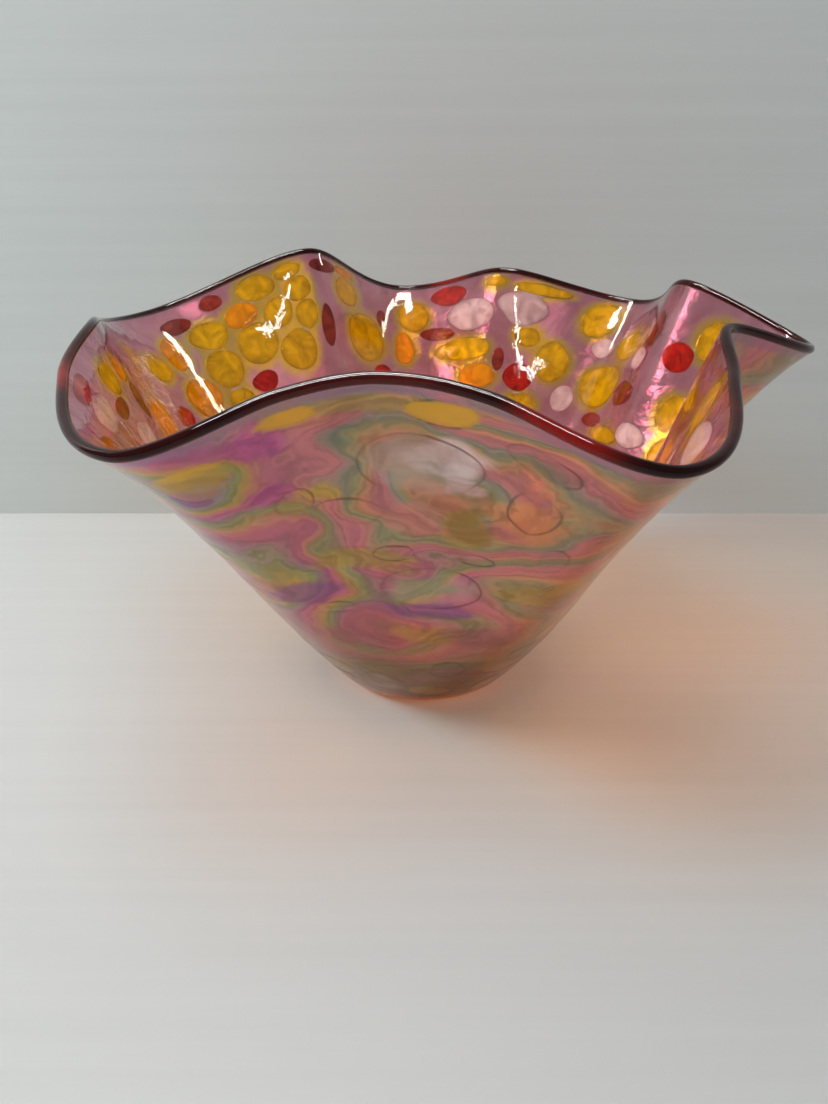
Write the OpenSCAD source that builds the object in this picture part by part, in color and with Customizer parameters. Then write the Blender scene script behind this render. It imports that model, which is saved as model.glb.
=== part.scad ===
// Hand-blown ruffled bowl: two fused wall layers with coloured glass chips between them,
// a heavy base with a ground pontil mark, and a fire-polished lip.
// +Z is up. The origin is the centre of the face that the bowl rests on.

/* [Rim] */
// Mean reach of the lip from the bowl's axis
rim_reach = 119; // [110:1:130]
// Mean height of the lip above the table
rim_height = 138; // [125:1:150]
// Depth of the ruffles, as a share of the ones drawn
ruffle_depth = 1; // [0.2:0.05:1.1]
// Diameter of the fire-polished lip
lip_d = 3.3; // [3.2:0.1:5]

/* [Wall] */
// Thickness of the wall, both layers together
wall_t = 2.8; // [2.6:0.1:3]
// Thickness of the outer, rose-coloured layer
overlay_t = 0.9; // [0.8:0.05:1]
// Thickness of the coloured chips between the layers
chip_t = 0.6; // [0.3:0.05:0.6]
// Slope of the wall where it leaves the base, in degrees
wall_slope = 51; // [46:1:56]
// How far the lower wall runs straight, as a share of its length
lower_run = 0.4; // [0.34:0.01:0.42]
// How far the upper wall runs straight to the lip, as a share of its length
upper_run = 0.22; // [0.16:0.01:0.28]

/* [Base] */
// Diameter of the ring where the base meets the rounded heel
base_d = 57; // [50:1:62]
// Radius of the heel, at the middle of the wall
heel_r = 12; // [10:0.5:14]
// Thickness of the glass at the base
base_t = 8; // [6:0.5:9]
// Diameter of the ground and polished pontil mark
pontil_d = 34; // [20:1:40]
// Depth of the pontil mark
pontil_depth = 1.2; // [0.6:0.1:2]

/* [Hidden] */

$fn = 96;
columns = 84;        // sections of the wall around the bowl
heel_rows = 3;       // rows of the wall in the heel
wall_rows = 9;       // rows of the wall above it
heel_share = 0.08;   // the heel's part of the share that runs up the wall
fit = 0.05;          // clearance between pieces that are fused together
out_t = wall_t / 2;  // glass outside the surface that the wall is drawn on
lip_seat = sqrt(pow(lip_d / 2, 2) - pow(out_t, 2));
base_r = base_d / 2;
heel_end_r = base_r + heel_r * sin(wall_slope);
heel_end_z = out_t + heel_r * (1 - cos(wall_slope));

// The ruffles, round the rim: angle, outward and upward from the mean lip, and the wall's
// slope at the lip. The six lobes lean out at 34 to 40 degrees, the six folds stand at about 64.
RUFFLES = [
    [-124, 17, -9, 36], [-109, -6, 4, 50], [-97, -17, 7, 64], [-82, -12, 3, 55],
    [-64, 15, -10, 40], [-40, -8, 0, 61], [-23, -17, 7, 68],
    [0, 18, -7, 34], [20, -9, 9, 64], [43, 15, -7, 34], [69, -13, 6, 64],
    [95, 16, -7, 34], [119, -13, 15, 64], [151, 15, -7, 34], [189, -6, 4, 64],
    [212, 4, -2, 48]
];

// The chips that show through each side of the wall, colour by colour: angle round the bowl,
// share of the way up the wall, width, height and lean in degrees.
YELLOW_CHIPS = [
    [-120, 0.85, 17, 13, 10], [-109, 0.935, 12, 6, 0], [-88, 0.925, 18, 8, 4],
    [-83, 0.62, 14, 16, -12], [-95, 0.31, 13, 7, -15], [-112, 0.7, 8, 9, 0],
    [7, 0.55, 7, 11, 8], [10, 0.645, 9, 14, 5], [11, 0.87, 8, 15, 0],
    [27, 0.52, 20, 6, 3], [35, 0.79, 17, 12, 0], [38.8, 0.65, 23, 19, 0],
    [47.5, 0.885, 14, 17, 10], [54, 0.7, 12, 18, -6], [59.5, 0.555, 13, 9, 0],
    [61, 0.767, 10, 8, 0], [60, 0.955, 20, 6, -6], [71, 0.96, 9, 5, 0],
    [78.5, 0.71, 25, 10, -4], [92, 0.845, 14, 15, 0], [105.2, 0.735, 18, 21, 0],
    [109.5, 0.88, 11, 12, 0], [123.5, 0.875, 11, 10, 0], [122.4, 0.79, 9, 12, 0],
    [125, 0.945, 10, 7, 0], [132, 0.93, 13, 11, 20], [126.3, 0.69, 14, 17, -15],
    [129, 0.82, 11, 12, 0], [135.3, 0.75, 15, 17, 0], [144.5, 0.712, 15, 16, 0],
    [144, 0.83, 15, 12, 10], [144.3, 0.605, 11, 11, 0], [162.5, 0.79, 17, 11, 20],
    [172.5, 0.87, 16, 8, 8], [199.5, 0.875, 11, 10, 0]
];
AMBER_CHIPS = [
    [-112, 0.385, 13, 5, 0], [-104, 0.655, 16, 9, -8], [-74, 0.73, 10, 15, 0],
    [73.5, 0.625, 16, 11, 0], [94.5, 0.715, 9, 15, 0], [109.5, 0.958, 9, 4, 0],
    [136.5, 0.855, 12, 10, 0], [153.8, 0.655, 18, 17, 0], [153.7, 0.81, 12, 15, 0],
    [182, 0.68, 22, 17, 0], [192.5, 0.865, 8, 8, 0]
];
RED_CHIPS = [
    [-97, 0.545, 11, 6, 10], [-75, 0.88, 14, 8, -10], [14.8, 0.782, 10, 11, 0],
    [61.3, 0.635, 12, 12, 0], [83.5, 0.93, 16, 10, 0], [101, 0.625, 8, 7, 0],
    [136.8, 0.635, 10, 9, 0], [166, 0.63, 13, 10, 0], [212, 0.945, 18, 6, 0]
];
GARNET_CHIPS = [
    [-82, 0.165, 11, 11, 0], [-69, 0.61, 6, 11, 0], [-103.5, 0.845, 11, 7, 12],
    [24, 0.84, 9, 14, 0], [26.5, 0.64, 14, 10, 0], [36, 0.548, 13, 6, 0],
    [67.5, 0.68, 5, 10, 0], [86, 0.77, 16, 6, 0], [100, 0.82, 5, 9, 0],
    [116, 0.95, 12, 6, 0], [117, 0.745, 6, 18, 0], [140.5, 0.945, 8, 7, 0],
    [149, 0.905, 14, 7, 0], [191.5, 0.77, 9, 12, 0], [204, 0.81, 13, 6, 0]
];
OPAL_CHIPS = [
    [-91.5, 0.775, 31, 20, -6], [-89, 0.45, 28, 18, 0], [-80, 0.545, 9, 4, 10],
    [16.5, 0.545, 13, 9, 0], [26, 0.745, 10, 9, 0], [44, 0.775, 10, 9, 0],
    [48.7, 0.59, 9, 12, 0], [63.5, 0.865, 19, 14, 0], [77, 0.836, 22, 14, 0],
    [203, 0.71, 18, 12, 0], [213, 0.87, 21, 10, 0]
];
COLOURS = [YELLOW_CHIPS, AMBER_CHIPS, RED_CHIPS, GARNET_CHIPS, OPAL_CHIPS];
YELLOW = 0;
AMBER = 1;
RED = 2;
GARNET = 3;
OPAL = 4;
PLACED = [for (k = [0:len(COLOURS) - 1]) for (c = COLOURS[k]) concat(c, k)];

// Parts of the wall that hold only the chips above: from angle, to angle, from share, to share.
SETTLED = [[-4, 220, 0.5, 1], [-127, -64, 0.1, 1]];

// The scattered chips: how many tries, their sizes, and how close they may lie.
tries = 420;
chip_w = [9, 19];
chip_h = [7, 15];
chip_space = 2.4;
chip_shares = [0.05, 0.92];
spread = [0.618034, 0.754878];  // golden steps, which fill a field evenly
MIX = [YELLOW, OPAL, AMBER, YELLOW, GARNET, YELLOW, RED, OPAL, AMBER, YELLOW, GARNET, RED];

spokes = 8;            // points round a chip
chip_top = 0.972;      // chips end below the lip
bands = [0, 0.45, 0.75, 1];  // shares that part the chips into lower, middle and upper

// ---------- The wall's middle surface ----------

function unit(v) = v / norm(v);
function frac(x) = x - floor(x);

// A ruffle, counted on past either end of the list.
function ruffle(i) = let(n = len(RUFFLES), r = RUFFLES[(i + n) % n])
    [r[0] + 360 * floor(i / n), ruffle_depth * r[1], ruffle_depth * r[2], r[3]];

// The ruffle that starts the stretch that an angle lies in.
function stretch(a) = max([for (i = [-1:len(RUFFLES) - 1]) if (ruffle(i)[0] <= a) i]);

// Smooth curve through four ruffles, which need not be evenly spaced.
function eased(p0, p1, p2, p3, a) =
    let(h = p2[0] - p1[0], u = (a - p1[0]) / h,
        d1 = (p2 - p0) * h / (p2[0] - p0[0]),
        d2 = (p3 - p1) * h / (p3[0] - p1[0]))
    (2 * pow(u, 3) - 3 * pow(u, 2) + 1) * p1 + (pow(u, 3) - 2 * pow(u, 2) + u) * d1
    + (3 * pow(u, 2) - 2 * pow(u, 3)) * p2 + (pow(u, 3) - pow(u, 2)) * d2;

// Lip at an angle: [angle, reach, height, slope].
function lip(angle) =
    let(a = angle - 360 * floor((angle - RUFFLES[0][0]) / 360), i = stretch(a),
        e = eased(ruffle(i - 1), ruffle(i), ruffle(i + 1), ruffle(i + 2), a))
    [angle, rim_reach + e[1], rim_height + e[2], e[3]];

// Reach and height of a point on the wall: a share below 0 lies on the heel.
function heel(share) = let(g = wall_slope * (1 + share / heel_share))
    [base_r + heel_r * sin(g), out_t + heel_r * (1 - cos(g))];
function wall(l, q) =
    let(p0 = [heel_end_r, heel_end_z], p3 = [l[1], l[2]], run = norm(p3 - p0),
        p1 = p0 + lower_run * run * [cos(wall_slope), sin(wall_slope)],
        p2 = p3 - upper_run * run * [cos(l[3]), sin(l[3])])
    pow(1 - q, 3) * p0 + 3 * q * pow(1 - q, 2) * p1 + 3 * pow(q, 2) * (1 - q) * p2
    + pow(q, 3) * p3;
function middle(angle, share) =
    let(p = share < 0 ? heel(share) : wall(lip(angle), share))
    [p[0] * cos(angle), p[0] * sin(angle), p[1]];

// Directions round the bowl, up the wall and out of it, and the millimetres in one share.
small_turn = 0.5;
small_share = 0.01;
function around(angle, share) =
    unit(middle(angle + small_turn, share) - middle(angle - small_turn, share));
function rising(angle, share) =
    (middle(angle, share) - middle(angle, share - small_share)) / small_share;
function outward(angle, share) = unit(cross(around(angle, share), rising(angle, share)));

// ---------- Closed shapes ----------

// Closed solid through a ring of sections, each a loop of the same number of points.
module ring_solid(sections) {
    n = len(sections);
    m = len(sections[0]);
    points = [for (s = sections) for (p = s) p];
    faces = [for (i = [0:n - 1]) for (j = [0:m - 1])
        let(a = i * m, b = ((i + 1) % n) * m, k = (j + 1) % m)
        each [[a + j, a + k, b + k], [a + j, b + k, b + j]]];
    polyhedron(points, faces);
}

// Share at which the wall ends under the lip, at an angle.
function wall_end(angle) =
    1 - (lip_seat + fit) / norm(cross(rising(angle, 1), around(angle, 1)));
function wall_shares(angle) = concat(
    [for (j = [0:heel_rows - 1]) -heel_share * (1 - j / heel_rows)],
    [for (j = [0:wall_rows]) wall_end(angle) * j / wall_rows]);

// Depth of the inner face below the wall's middle, which thickens toward the base.
function inner_depth(share) =
    let(low = max(0, 1 - (share + heel_share) / 0.5))
    wall_t - out_t + (base_t - wall_t) * pow(low, 3);

// Section of one layer at an angle, between two depths; undef is the inner face.
function layer_section(angle, outer, inner) =
    let(shares = wall_shares(angle),
        mids = [for (s = shares) middle(angle, s)],
        outs = [for (s = shares) outward(angle, s)],
        last = len(shares) - 1)
    concat([for (j = [0:last]) mids[j] + outer * outs[j]],
        [for (j = [last:-1:0])
            mids[j] - (is_undef(inner) ? inner_depth(shares[j]) : inner) * outs[j]]);
module wall_layer(outer, inner)
    ring_solid([for (i = [0:columns - 1]) layer_section(360 * i / columns, outer, inner)]);

// ---------- Chips ----------

function chip_reach(c) = let(p = middle(c[0], c[1])) norm([p[0], p[1]]);

// True where two chips would lie too close, each taken as an ellipse.
function near(c, d) =
    let(turn = abs((c[0] - d[0] + 540) % 360 - 180) * PI / 180,
        x = turn * (chip_reach(c) + chip_reach(d)) / 2,
        y = (c[1] - d[1]) * norm(rising(c[0], (c[1] + d[1]) / 2)))
    pow(x / ((c[2] + d[2]) / 2 + chip_space), 2)
    + pow(y / ((c[3] + d[3]) / 2 + chip_space), 2) < 1;
function inside(c, zone) =
    let(a = c[0] > zone[1] ? c[0] - 360 : c[0])
    a >= zone[0] && a <= zone[1] && c[1] >= zone[2] && c[1] <= zone[3];
function clear_of(c, kept) =
    len([for (z = SETTLED) if (inside(c, z)) 1]) == 0
    && len([for (d = kept) if (near(c, d)) 1]) == 0;

// A try at a scattered chip. Each size follows its own slow beat.
function scattered(k) =
    let(wide = frac(k * 0.37), tall = frac(k * 0.59))
    [360 * frac(k * spread[0]),
     chip_shares[0] + (chip_shares[1] - chip_shares[0]) * frac(k * spread[1]),
     chip_w[0] + (chip_w[1] - chip_w[0]) * wide,
     chip_h[0] + (chip_h[1] - chip_h[0]) * tall,
     40 * frac(k * 0.23) - 20,
     MIX[k % len(MIX)]];
function settle(k, kept) = k > tries ? kept
    : let(c = scattered(k)) settle(k + 1, clear_of(c, kept) ? concat(kept, [c]) : kept);

// Point of a chip on a spoke, at a part of the way to its edge: its place on the wall.
function chip_spot(c, spoke, part, turn_mm, share_mm) =
    let(g = 360 * spoke / spokes,
        bulge = part * (1 + 0.07 * cos(3 * g + 90 * c[2])),
        x = bulge * c[2] / 2 * cos(g), y = bulge * c[3] / 2 * sin(g),
        u = x * cos(c[4]) - y * sin(c[4]), v = x * sin(c[4]) + y * cos(c[4]))
    [c[0] + u / turn_mm, min(c[1] + v / share_mm, chip_top)];

// A chip: a thin plate that follows the wall, as a fan and one ring on each face.
module chip(c) {
    turn_mm = chip_reach(c) * PI / 180;
    share_mm = norm(rising(c[0], c[1]));
    spots = concat([chip_spot(c, 0, 0, turn_mm, share_mm)],
        [for (part = [0.5, 1]) for (i = [0:spokes - 1])
            chip_spot(c, i, part, turn_mm, share_mm)]);
    mids = [for (s = spots) middle(s[0], s[1])];
    outs = [for (s = spots) outward(s[0], s[1])];
    outer = out_t - overlay_t - fit;
    n = len(spots);
    points = concat([for (i = [0:n - 1]) mids[i] + outer * outs[i]],
        [for (i = [0:n - 1]) mids[i] + (outer - chip_t) * outs[i]]);
    faces = [for (i = [0:spokes - 1])
        let(j = (i + 1) % spokes, a = 1 + i, b = 1 + j, p = a + spokes, q = b + spokes)
        each [
            [0, b, a], [n, n + a, n + b],
            [a, b, q], [a, q, p],
            [n + a, n + q, n + b], [n + a, n + p, n + q],
            [p, q, n + q], [p, n + q, n + p]
        ]];
    polyhedron(points, faces);
}

// All the chips of one colour in one band of the wall.
module chips(colour, band) {
    for (c = settle(1, PLACED))
        if (c[5] == colour && c[1] >= bands[band] && c[1] < bands[band + 1])
            chip(c);
}

// ---------- Sub-parts ----------

module base_pad() color([0.72, 0.4, 0.2, 0.6])
    rotate_extrude() {
        r = base_r - 4 * fit;
        edge = 0.6;
        dish = 1;
        polygon([
            [0, pontil_depth], [pontil_d / 2 - 3, pontil_depth * 0.7], [pontil_d / 2, 0],
            [r - edge, 0], [r, edge], [r, base_t - 4 * fit],
            [r * 0.6, base_t - dish * 0.6], [0, base_t - dish]
        ]);
    }
module clear_gather() color([0.85, 0.6, 0.65, 0.5])
    wall_layer(out_t - overlay_t - chip_t - 2 * fit, undef);
module rose_overlay() color([0.75, 0.42, 0.45, 0.5])
    wall_layer(out_t, overlay_t - out_t);
module lip_bead() color([0.25, 0.05, 0.04])
    ring_solid([for (i = [0:columns - 1])
        let(a = 360 * i / columns, p = middle(a, 1), o = outward(a, 1),
            up = cross(o, around(a, 1)), from = asin(lip_seat / (lip_d / 2)), steps = 9)
        [for (j = [0:steps]) let(g = -from + (180 + 2 * from) * j / steps)
            p + lip_d / 2 * (cos(g) * o + sin(g) * up)]]);

module yellow_chips(band) color([0.78, 0.58, 0.05]) chips(YELLOW, band);
module amber_chips(band) color([0.85, 0.45, 0.06]) chips(AMBER, band);
module red_chips(band) color([0.66, 0.08, 0.03]) chips(RED, band);
module garnet_chips(band) color([0.35, 0.06, 0.04]) chips(GARNET, band);
module opal_chips(band) color([0.75, 0.62, 0.62]) chips(OPAL, band);

base_pad();
clear_gather();
rose_overlay();
lip_bead();
yellow_chips(0);  // yellow_chips_lower
yellow_chips(1);  // yellow_chips_middle
yellow_chips(2);  // yellow_chips_upper
amber_chips(0);  // amber_chips_lower
amber_chips(1);  // amber_chips_middle
amber_chips(2);  // amber_chips_upper
red_chips(0);  // red_chips_lower
red_chips(1);  // red_chips_middle
red_chips(2);  // red_chips_upper
garnet_chips(0);  // garnet_chips_lower
garnet_chips(1);  // garnet_chips_middle
garnet_chips(2);  // garnet_chips_upper
opal_chips(0);  // opal_chips_lower
opal_chips(1);  // opal_chips_middle
opal_chips(2);  // opal_chips_upper
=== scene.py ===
"""Ruffled, iridescent art glass bowl: the fine glass surfaces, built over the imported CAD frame."""

import math

import bmesh
import bpy
import numpy as np
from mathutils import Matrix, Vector


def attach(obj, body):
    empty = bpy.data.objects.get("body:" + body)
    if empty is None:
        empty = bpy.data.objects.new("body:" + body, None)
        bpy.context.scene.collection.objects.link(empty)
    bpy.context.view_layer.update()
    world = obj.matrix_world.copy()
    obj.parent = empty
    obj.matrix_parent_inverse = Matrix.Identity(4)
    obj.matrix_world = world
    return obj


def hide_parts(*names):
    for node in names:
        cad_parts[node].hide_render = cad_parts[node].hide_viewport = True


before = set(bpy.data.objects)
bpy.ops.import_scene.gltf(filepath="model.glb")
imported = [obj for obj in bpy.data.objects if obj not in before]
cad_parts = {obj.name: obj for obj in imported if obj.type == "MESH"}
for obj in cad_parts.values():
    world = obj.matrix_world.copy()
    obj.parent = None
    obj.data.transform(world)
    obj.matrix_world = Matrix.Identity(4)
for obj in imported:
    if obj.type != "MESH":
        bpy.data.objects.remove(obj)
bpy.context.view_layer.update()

MM = 0.001

# ---------- Design values, as in the CAD source ----------

RIM_REACH = 119.0
RIM_HEIGHT = 138.0
LIP_D = 3.3
WALL_T = 2.8
OVERLAY_T = 0.9
CHIP_T = 0.6
WALL_SLOPE = 51.0
LOWER_RUN = 0.4
UPPER_RUN = 0.22
BASE_R = 28.5
HEEL_R = 12.0
BASE_T = 8.0
PONTIL_R = 17.0
PONTIL_DEPTH = 1.2
BASE_DISH = 1.0
HEEL_SHARE = 0.08
FIT = 0.05
OUT_T = WALL_T / 2
LIP_SEAT = math.sqrt((LIP_D / 2) ** 2 - OUT_T**2)

# Ruffles round the rim: angle, outward and upward from the mean lip, slope at the lip.
RUFFLES = np.array([
    [-124, 17, -9, 36], [-109, -6, 4, 50], [-97, -17, 7, 64], [-82, -12, 3, 55],
    [-64, 15, -10, 40], [-40, -8, 0, 61], [-23, -17, 7, 68],
    [0, 18, -7, 34], [20, -9, 9, 64], [43, 15, -7, 34], [69, -13, 6, 64],
    [95, 16, -7, 34], [119, -13, 15, 64], [151, 15, -7, 34], [189, -6, 4, 64],
    [212, 4, -2, 48],
], float)

# ---------- Fineness of the meshes ----------

COLUMNS = 440
OUTER_HEEL_ROWS = 12
OUTER_WALL_ROWS = 136
HIDDEN_HEEL_ROWS = 6
HIDDEN_WALL_ROWS = 50
INNER_HEEL_ROWS = 10
INNER_WALL_ROWS = 110
LIP_STEPS = 30
CHIP_SPOKES = 36
CHIP_RINGS = [0.3, 0.55, 0.75, 0.88, 0.96]
EDGE_STEPS = 72
BASE_COLUMNS = 144

# ---------- Outlines of the chips ----------

# The highest share of the wall that a chip reaches.
CHIP_TOP = 0.972
# How far round a chip's centre, in mm along and up the wall, it has any effect, and how far
# apart two centres can be when their edges may touch.
CHIP_REACH = (28, 24)
TOUCH_REACH = (40, 34)
# The distance in mm that stands for no chip near.
CHIP_FAR = 9.0
# The least gap in mm between two chips, and how much larger than in the CAD they start.
CHIP_GAP = 0.15
CHIP_SWELL = 1.07
# How uneven the edges are, in waves that go round a chip 2, 3, 4, 5 and 6 times.
WOBBLE = [0.025, 0.03, 0.02, 0.012, 0.008]
# Heights in mm: bumps and the grooves round them outside, and bumps inside.
OUTSIDE_BUMP = 0.10
OUTSIDE_GROOVE = 0.05
INSIDE_BUMP = 0.07

# ---------- The wall's middle surface ----------


def turned_from(angle, start):
    """Degrees from start to angle, between -180 and 180."""
    return (angle - start + 180) % 360 - 180


def smooth(x, low, high):
    u = np.clip((x - low) / (high - low), 0.0, 1.0)
    return u * u * (3 - 2 * u)


def lip_values(angle):
    """Outward, upward and slope of the lip, a smooth curve through the ruffles."""
    k = RUFFLES
    first = k[0, 0]
    ends = np.concatenate([k[-2:, 0] - 360, k[:, 0], k[:2, 0] + 360])
    values = np.concatenate([k[-2:], k, k[:2]])[:, 1:]
    turned = (angle - first) % 360 + first
    i = np.clip(np.searchsorted(ends, turned, side="right") - 1, 1, len(ends) - 3)
    h = ends[i + 1] - ends[i]
    u = ((turned - ends[i]) / h)[..., None]
    d1 = (values[i + 1] - values[i - 1]) * (h / (ends[i + 1] - ends[i - 1]))[..., None]
    d2 = (values[i + 2] - values[i]) * (h / (ends[i + 2] - ends[i]))[..., None]
    rise = 3 * u**2 - 2 * u**3
    bends = (u**3 - 2 * u**2 + u) * d1 + (u**3 - u**2) * d2
    return (1 - rise) * values[i] + rise * values[i + 1] + bends


def middle(angle, share):
    """Points in mm on the wall's middle surface; a share below 0 lies on the heel."""
    angle, share = np.broadcast_arrays(np.asarray(angle, float), np.asarray(share, float))
    v = lip_values(angle)
    reach, height, slope = RIM_REACH + v[..., 0], RIM_HEIGHT + v[..., 1], np.radians(v[..., 2])
    s = math.radians(WALL_SLOPE)
    r0, z0 = BASE_R + HEEL_R * math.sin(s), OUT_T + HEEL_R * (1 - math.cos(s))
    run = np.hypot(reach - r0, height - z0)
    r1, z1 = r0 + LOWER_RUN * run * math.cos(s), z0 + LOWER_RUN * run * math.sin(s)
    r2, z2 = reach - UPPER_RUN * run * np.cos(slope), height - UPPER_RUN * run * np.sin(slope)
    q = np.maximum(share, 0)
    b = [(1 - q) ** 3, 3 * q * (1 - q) ** 2, 3 * q**2 * (1 - q), q**3]
    g = s * (1 + np.minimum(share, 0) / HEEL_SHARE)
    r = b[0] * r0 + b[1] * r1 + b[2] * r2 + b[3] * reach
    z = b[0] * z0 + b[1] * z1 + b[2] * z2 + b[3] * height
    r = np.where(share < 0, BASE_R + HEEL_R * np.sin(g), r)
    z = np.where(share < 0, OUT_T + HEEL_R * (1 - np.cos(g)), z)
    c = np.radians(angle)
    return np.stack([r * np.cos(c), r * np.sin(c), z], -1)


def unit(v):
    return v / np.linalg.norm(v, axis=-1, keepdims=True)


def around(angle, share):
    return unit(middle(angle + 0.5, share) - middle(angle - 0.5, share))


def rising(angle, share):
    return (middle(angle, share) - middle(angle, share - 0.01)) / 0.01


def outward(angle, share):
    return unit(np.cross(around(angle, share), rising(angle, share)))


def wall_end(angle):
    """Share at which the wall ends under the lip."""
    mm_in_share = np.linalg.norm(np.cross(rising(angle, 1.0), around(angle, 1.0)), axis=-1)
    return 1 - (LIP_SEAT + FIT) / mm_in_share


def inner_depth(share):
    """Depth of the inner face below the middle, which thickens toward the base."""
    low = np.maximum(0, 1 - (share + HEEL_SHARE) / 0.5)
    return WALL_T - OUT_T + (BASE_T - WALL_T) * low**3


# ---------- Meshes ----------


def new_piece(name, points_mm, faces, materials, face_material=None, sharp=40):
    """A closed mesh piece, in metres, that rides on the bowl."""
    mesh = bpy.data.meshes.new(name)
    mesh.from_pydata((np.asarray(points_mm) * MM).tolist(), [], faces)
    for m in materials:
        mesh.materials.append(m)
    if face_material is not None:
        mesh.polygons.foreach_set("material_index", np.asarray(face_material, np.int32))
    mesh.polygons.foreach_set("use_smooth", np.ones(len(mesh.polygons), bool))
    mesh.update()
    if sharp:
        mesh.set_sharp_from_angle(angle=math.radians(sharp))
    piece = bpy.data.objects.new(name, mesh)
    bpy.context.scene.collection.objects.link(piece)
    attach(piece, "root")
    return piece


def add_attribute(piece, name, values):
    layer = piece.data.attributes.new(name, "FLOAT", "POINT")
    layer.data.foreach_set("value", np.asarray(values, np.float32).ravel())


def add_colours(piece, name, colours):
    layer = piece.data.attributes.new(name, "FLOAT_COLOR", "POINT")
    flat = np.asarray(colours, np.float32).reshape(-1, 3)
    layer.data.foreach_set("color", np.hstack([flat, np.ones((len(flat), 1), np.float32)]).ravel())


def ring_faces(columns, steps):
    """Quads of a closed solid through a ring of sections with that many points each."""
    i = np.repeat(np.arange(columns), steps)
    j = np.tile(np.arange(steps), columns)
    a, b, k = i * steps, ((i + 1) % columns) * steps, (j + 1) % steps
    return np.stack([a + j, b + j, b + k, a + k], 1), j


def section_shares(angle, heel_rows, wall_rows):
    """Shares up the wall at each angle, from the base ring to the lip."""
    heel = -HEEL_SHARE * (1 - np.arange(heel_rows) / heel_rows)
    wall = wall_end(angle)[:, None] * np.arange(wall_rows + 1)[None] / wall_rows
    return np.concatenate([np.repeat(heel[None], len(angle), 0), wall], 1)


# ---------- Chips, taken from the CAD nodes ----------


def on_wall(points):
    """Angle, share and depth of points in mm near the wall's middle surface."""
    angle = np.degrees(np.arctan2(points[:, 1], points[:, 0]))
    tries = np.linspace(-0.05, 1.0, 106)
    gap = np.linalg.norm(middle(angle[:, None], tries[None]) - points[:, None], axis=-1)
    share = tries[gap.argmin(1)]
    for _ in range(4):
        miss = points - middle(angle, share)
        turn = middle(angle + 0.5, share) - middle(angle - 0.5, share)
        rise = rising(angle, share)
        out = unit(np.cross(turn, rise))
        step = np.linalg.solve(np.stack([turn, rise, out], -1), miss[..., None])[..., 0]
        angle, share, depth = angle + step[:, 0], share + step[:, 1], step[:, 2]
    return angle, share, depth


def loose_parts(node):
    """The separate solids of a CAD node: their points in mm and the edges between those."""
    work = bmesh.new()
    work.from_mesh(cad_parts[node].data)
    bmesh.ops.remove_doubles(work, verts=work.verts, dist=1e-6)
    seen, parts = set(), []
    for start in work.verts:
        if start in seen:
            continue
        seen.add(start)
        group, queue = [], [start]
        while queue:
            v = queue.pop()
            group.append(v)
            for e in v.link_edges:
                w = e.other_vert(v)
                if w not in seen:
                    seen.add(w)
                    queue.append(w)
        index = {v: n for n, v in enumerate(group)}
        points = np.array([v.co for v in group]) / MM
        links = [(index[e.verts[0]], index[e.verts[1]]) for v in group for e in v.link_edges]
        parts.append((points, np.array(links)))
    work.free()
    return parts


def read_chip(points, links, rng):
    """A chip's centre on the wall, the mm in a degree and in a share, and its smooth edge."""
    angle, share, depth = on_wall(points)
    outer = depth > depth.mean()
    across = outer[links[:, 0]] != outer[links[:, 1]]
    rim = np.unique(links[across].ravel())
    rim = rim[outer[rim]]
    turn = np.degrees(np.angle(np.exp(1j * np.radians(angle[rim])).mean()))
    centre = np.array([turn, share[rim].mean()])
    turn_mm = np.hypot(*middle(centre[0], centre[1])[:2]) * math.pi / 180
    share_mm = np.linalg.norm(rising(centre[0], centre[1]))
    x = turned_from(angle[rim], centre[0]) * turn_mm
    y = (share[rim] - centre[1]) * share_mm
    flat = np.stack([x, y])
    spread, axes = np.linalg.eigh(flat @ flat.T / len(x))
    shape = axes * np.sqrt(2 * spread)
    u = np.linalg.solve(shape, flat)
    around_it, far = np.arctan2(u[1], u[0]), np.hypot(u[0], u[1])
    waves = np.stack([f(k * around_it) for k in range(3) for f in (np.cos, np.sin)], 1)
    edge = np.linalg.lstsq(waves, far, rcond=None)[0]
    way = 2 * math.pi * np.arange(EDGE_STEPS) / EDGE_STEPS
    radii = CHIP_SWELL * np.stack([f(k * way) for k in range(3) for f in (np.cos, np.sin)], -1) @ edge
    for k, size in enumerate(WOBBLE):
        radii = radii + size * rng.normal() * np.cos((k + 2) * way + rng.uniform(0, 6.28))
    return {"centre": centre, "turn_mm": turn_mm, "share_mm": share_mm, "shape": shape, "radii": radii}


def chip_edge(chip, way):
    """How far the edge lies from the centre, along a direction in the chip's own stretched space."""
    steps = 2 * math.pi * np.arange(EDGE_STEPS) / EDGE_STEPS
    return np.interp(way, steps, chip["radii"], period=2 * math.pi)


def chip_distance(chip, angle, share):
    """Signed distance in mm from the chip's edge, negative inside."""
    x = turned_from(angle, chip["centre"][0]) * chip["turn_mm"]
    y = (share - chip["centre"][1]) * chip["share_mm"]
    u = np.linalg.solve(chip["shape"], np.stack([x, y]))
    far = np.hypot(u[0], u[1]) + 1e-6
    return np.hypot(x, y) * (1 - chip_edge(chip, np.arctan2(u[1], u[0])) / far)


def chip_outline(chip, way, part):
    """Angle and share of points at that part of the way to the chip's edge."""
    far = part * chip_edge(chip, way)
    x, y = chip["shape"] @ np.stack([far * np.cos(way), far * np.sin(way)])
    angle = chip["centre"][0] + x / chip["turn_mm"]
    return angle, np.minimum(chip["centre"][1] + y / chip["share_mm"], CHIP_TOP)


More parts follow.
